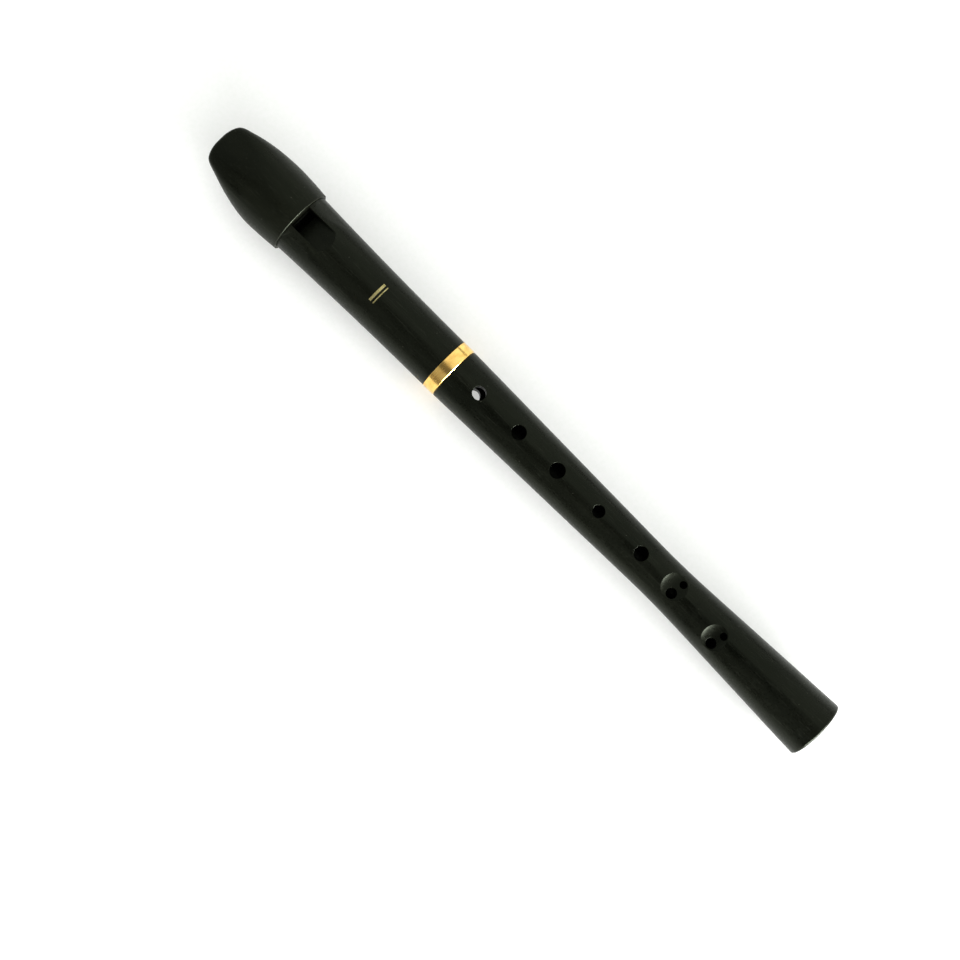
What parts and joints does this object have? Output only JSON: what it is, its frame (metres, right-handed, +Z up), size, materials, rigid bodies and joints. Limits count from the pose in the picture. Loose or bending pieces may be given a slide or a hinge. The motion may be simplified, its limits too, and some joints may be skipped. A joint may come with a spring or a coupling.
{
  "type": "soprano recorder",
  "caption": "Two-piece moulded soprano recorder: beaked cap, windway and window, metal ring, tapered tube with finger and thumb holes, flared foot.",
  "frame": {"origin": "middle of the recorder's length, on the surface it lies on, below the bore axis", "axes": "+X along the bore from the mouth tip to the foot, +Z up through the finger holes, the thumb hole below"},
  "size_m": [0.3234, 0.0298, 0.0298],
  "materials": {
    "cap_plastic": "satin moulded ABS, black",
    "block_plastic": "satin moulded ABS, black",
    "tube_plastic": "satin moulded ABS, black",
    "ring_metal": "polished, gold coloured",
    "foil": "hot-stamped gold foil"
  },
  "bodies": {
    "body": {"body_tube": "tube_plastic"},
    "ring": {"ferrule_ring": "ring_metal"},
    "head": {"head_tube": "tube_plastic", "mouthpiece_cap": "cap_plastic", "windway_block": "block_plastic"}
  },
  "joints": [
    {"name": "head_pull", "type": "slide", "parent": "body", "child": "ring", "axis": [-1, 0, 0], "range_m": [0, 0.025]},
    {"name": "head_twist", "type": "hinge", "parent": "ring", "child": "head", "pos_m": [-0.0377, 0, 0.0149], "axis": [1, 0, 0], "continuous": true}
  ]
}
